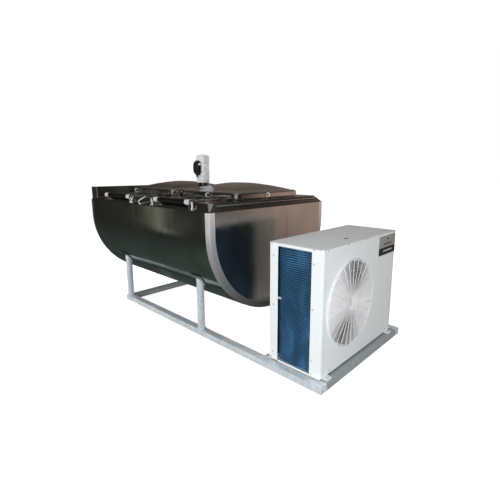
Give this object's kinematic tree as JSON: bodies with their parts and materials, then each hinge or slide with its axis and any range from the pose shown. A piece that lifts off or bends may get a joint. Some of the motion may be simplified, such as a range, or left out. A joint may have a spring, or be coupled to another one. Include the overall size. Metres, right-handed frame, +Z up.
{
  "type": "bulk milk tank",
  "caption": "Half-barrel milk cooling tank with hinged lids, a top agitator and a bottom outlet, on a tube skid that also carries its air-cooled condensing unit.",
  "frame": {"origin": "on the floor under the middle of the whole object", "axes": "+X along the tank towards the condensing unit, +Y away from the side that the lids are hinged on, +Z up"},
  "size_m": [2.88, 1.41, 1.514],
  "materials": {
    "stainless_shell": "polished sheet",
    "stainless_trim": "bright polished sheet",
    "stainless_inside": "satin sheet",
    "stainless_bar": "satin bar and tube",
    "galvanised": "dull galvanised",
    "white_paint": "semi-gloss powder coat",
    "pale_plastic": "moulded",
    "grey_paint": "semi-gloss paint",
    "alloy": "cast and machined",
    "black_plastic": "moulded",
    "black_paint": "satin paint",
    "rubber": "moulded food-grade rubber",
    "blue_fins": "blue hydrophilic coating",
    "copper": "drawn copper tube",
    "foam": "rigid closed-cell foam",
    "spring_steel": "oil-tempered wire"
  },
  "bodies": {
    "tank": {"frame_rail_near": "galvanised", "frame_rail_far": "galvanised", "frame_cross_rails": "galvanised", "support_legs": "galvanised", "leg_collars": "galvanised", "outer_shell": "stainless_shell", "bottom_wrapper": "stainless_shell", "end_panel_front": "stainless_shell", "end_panel_rear": "stainless_shell", "top_deck": "stainless_shell", "rear_deck_box": "stainless_shell", "saddle_plates": "stainless_shell", "agitator_bridge": "stainless_shell", "end_trim_front": "stainless_trim", "end_trim_rear": "stainless_trim", "hatch_rims": "stainless_trim", "inner_vessel": "stainless_inside", "evaporator_jacket": "stainless_inside", "outlet_pipe": "stainless_inside", "valve_body": "stainless_inside", "lid_pivot_rods": "stainless_bar", "hinge_brackets": "stainless_bar", "lid_springs": "spring_steel", "shaft_seal": "rubber", "insulation_foam": "foam", "gearbox_housing": "alloy", "motor_housing": "alloy", "motor_fan_cowl": "alloy", "terminal_box": "black_plastic", "unit_feet": "white_paint", "unit_base_pan": "white_paint", "unit_side_frame": "white_paint", "unit_front_panel": "white_paint", "unit_top_panel": "white_paint", "unit_rear_panel": "white_paint", "unit_service_panel": "white_paint", "fan_guard": "pale_plastic", "fan_motor": "grey_paint", "fan_motor_bracket": "grey_paint", "control_box": "grey_paint", "compressor": "black_paint", "condenser_coil": "blue_fins", "refrigerant_lines": "copper"},
    "lid_left": {"lid_left_shell": "stainless_shell", "lid_left_lining": "stainless_inside", "lid_left_gasket": "rubber", "lid_left_handles": "stainless_trim", "lid_left_arms": "stainless_bar", "lid_left_hinge_tube": "stainless_bar"},
    "lid_right": {"lid_right_shell": "stainless_shell", "lid_right_lining": "stainless_inside", "lid_right_gasket": "rubber", "lid_right_handles": "stainless_trim", "lid_right_arms": "stainless_bar", "lid_right_hinge_tube": "stainless_bar"},
    "agitator": {"agitator_shaft": "stainless_inside", "agitator_paddle": "stainless_inside"},
    "outlet_valve": {"valve_disc": "stainless_inside", "valve_handle": "stainless_inside"},
    "fan": {"fan_rotor": "pale_plastic"}
  },
  "joints": [
    {"name": "lid_left_hinge", "type": "hinge", "parent": "tank", "child": "lid_left", "pos_m": [-0.85, -0.683, 1.117], "axis": [1, 0, 0], "range_deg": [0, 85]},
    {"name": "lid_right_hinge", "type": "hinge", "parent": "tank", "child": "lid_right", "pos_m": [0.07, -0.683, 1.117], "axis": [1, 0, 0], "range_deg": [0, 85]},
    {"name": "agitator_spin", "type": "hinge", "parent": "tank", "child": "agitator", "pos_m": [-0.44, 0.03, 0.8], "axis": [0, 0, 1], "continuous": true},
    {"name": "outlet_valve_turn", "type": "hinge", "parent": "tank", "child": "outlet_valve", "pos_m": [-1.38, 0, 0.144], "axis": [0, 0, -1], "range_deg": [0, 90]},
    {"name": "fan_spin", "type": "hinge", "parent": "tank", "child": "fan", "pos_m": [1.348, -0.185, 0.478], "axis": [1, 0, 0], "continuous": true}
  ]
}
